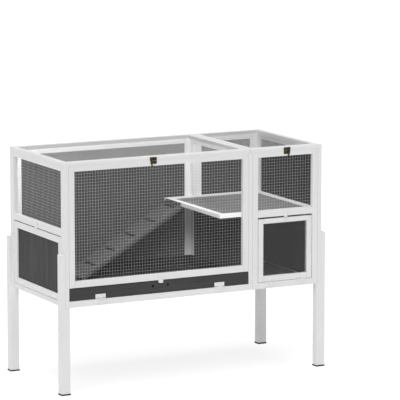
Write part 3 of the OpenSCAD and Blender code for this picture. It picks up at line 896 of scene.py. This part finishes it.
WHITE = (1, 1, 1, 1)
BLACK = (0, 0, 0, 1)
FLOOR_COLOUR = (0.24, 0.24, 0.24, 1)
FLOOR_GLOW = 0.86
FLOOR_REACH = 60.0
WALL_RADIUS = 59.0
WALL_HEIGHT = 80.0
WALL_SIDES = 96
SKY = 0.16
OUTSIDE_FROM = (-0.4, -0.43, 0.81)
OUTSIDE_POWER = 1.8
ABOVE_FROM = (0, 0, 1)
ABOVE_POWER = 1.7
SUN_PLACE = (0, 0, 4)
SPREAD = math.radians(35)
LAMP_PLACE = (-0.6, -1.2, 1.95)
LAMP_AIM = (-0.1, 0.28, 0.7)
LAMP_POWER = 37.0
LAMP_SIZE = 0.9


def floor():
    data = bpy.data.meshes.new("floor")
    corners = [(-FLOOR_REACH, -FLOOR_REACH, 0), (FLOOR_REACH, -FLOOR_REACH, 0),
               (FLOOR_REACH, FLOOR_REACH, 0), (-FLOOR_REACH, FLOOR_REACH, 0)]
    data.from_pydata(corners, [], [(0, 1, 2, 3)])
    paint = Look("floor_paint", Base_Color=FLOOR_COLOUR, Roughness=0.9, Specular_IOR_Level=0.1,
                 Emission_Color=WHITE, Emission_Strength=FLOOR_GLOW)
    data.materials.append(paint.material)
    made = linked("floor", data)
    return made


def backdrop():
    """A white wall round the table, for views so low that they look past its edge. It lights nothing."""
    wall = bmesh.new()
    bmesh.ops.create_cone(wall, cap_ends=False, segments=WALL_SIDES, radius1=WALL_RADIUS,
                          radius2=WALL_RADIUS, depth=WALL_HEIGHT)
    data = bpy.data.meshes.new("backdrop")
    wall.to_mesh(data)
    wall.free()
    paint = Look("backdrop_paint", Base_Color=BLACK, Emission_Color=WHITE, Emission_Strength=1.0)
    paint.material.cycles.emission_sampling = "NONE"
    data.materials.append(paint.material)
    made = linked("backdrop", data)
    made.visible_diffuse = False
    made.visible_glossy = False
    made.visible_shadow = False


def place_light(name, kind, source, place):
    """A light at a place, whose rays come from the direction source."""
    made = linked(name, bpy.data.lights.new(name, kind))
    made.location = place
    made.rotation_euler = Vector(source).to_track_quat("Z", "Y").to_euler()
    return made


def pieces_named(*endings):
    """Every object whose name ends in one of these."""
    return [o for o in bpy.context.scene.collection.all_objects if o.name.endswith(endings)]


def group(name, pieces, state="INCLUDE"):
    """A collection for light linking."""
    made = bpy.data.collections.new(name)
    for obj in pieces:
        made.objects.link(obj)
    for entry in made.collection_objects:
        entry.light_linking.link_state = state
    return made


def broad_light(name, source, power):
    """A soft light from one side, through which no mesh wire casts a shadow."""
    made = place_light(name, "SUN", source, SUN_PLACE)
    made.data.angle = SPREAD
    made.data.energy = power
    made.light_linking.blocker_collection = group(name + "_passes", pieces_named("_wires"), "EXCLUDE")
    return made


INSIDE_FRAMES = ("back_left_frame_boards", "back_right_frame_boards", "divider_frame_boards",
                 "shelf_rails", "shelf_cleat_plank")
INSIDE_BOARDS = ("back_left_board_plank", "back_right_board_plank", "divider_board_plank",
                 "shelf_board_plank", "ramp_board", "ramp_battens", "tray_moulding",
                 "base_left_plank", "base_right_plank")
SHADING_PIECES = ("divider_board_plank", "shelf_rails", "shelf_board_plank", "ramp_board",
                  "ramp_battens", "tray_moulding")


def inside_light(sun, table):
    """A lamp that reaches only what stands inside the hutch, which the mesh would leave dim. The sun
    doesn't reach these pieces, and the table's glow doesn't reach the boards among them."""
    source = Vector(LAMP_PLACE) - Vector(LAMP_AIM)
    made = place_light("inside", "AREA", source, LAMP_PLACE)
    made.data.shape = "DISK"
    made.data.size = LAMP_SIZE
    made.data.energy = LAMP_POWER
    boards = pieces_named(*INSIDE_BOARDS)
    inside = boards + pieces_named(*INSIDE_FRAMES)
    made.light_linking.receiver_collection = group("inside_lit", inside)
    sun.light_linking.receiver_collection = group("outside_lit", inside, "EXCLUDE")
    made.light_linking.blocker_collection = group("inside_shading", pieces_named(*SHADING_PIECES))
    table.light_linking.receiver_collection = group("inside_shaded", boards, "EXCLUDE")


def sky():
    world = bpy.data.worlds.new("studio")
    world.use_nodes = True
    background = world.node_tree.nodes["Background"]
    background.inputs["Color"].default_value = WHITE
    background.inputs["Strength"].default_value = SKY
    bpy.context.scene.world = world


CAMERA_PLACE = (-5.357, -10.610, 2.659)
CAMERA_TURN = math.radians(27.49)
CAMERA_DIP = math.radians(9.17)
LENS = 251.3
SENSOR_WIDTH = 36.0
FAR_CLIP = 300.0


def camera():
    data = bpy.data.cameras.new("camera")
    data.lens = LENS
    data.sensor_width = SENSOR_WIDTH
    data.clip_end = FAR_CLIP
    made = linked("camera", data)
    ahead = Vector((math.sin(CAMERA_TURN) * math.cos(CAMERA_DIP),
                    math.cos(CAMERA_TURN) * math.cos(CAMERA_DIP), -math.sin(CAMERA_DIP)))
    made.location = CAMERA_PLACE
    made.rotation_euler = ahead.to_track_quat("-Z", "Y").to_euler()
    bpy.context.scene.camera = made


sky()
outside = broad_light("outside", OUTSIDE_FROM, OUTSIDE_POWER)
broad_light("above", ABOVE_FROM, ABOVE_POWER)
inside_light(outside, floor())
backdrop()
camera()
bpy.context.scene.view_settings.view_transform = "Standard"
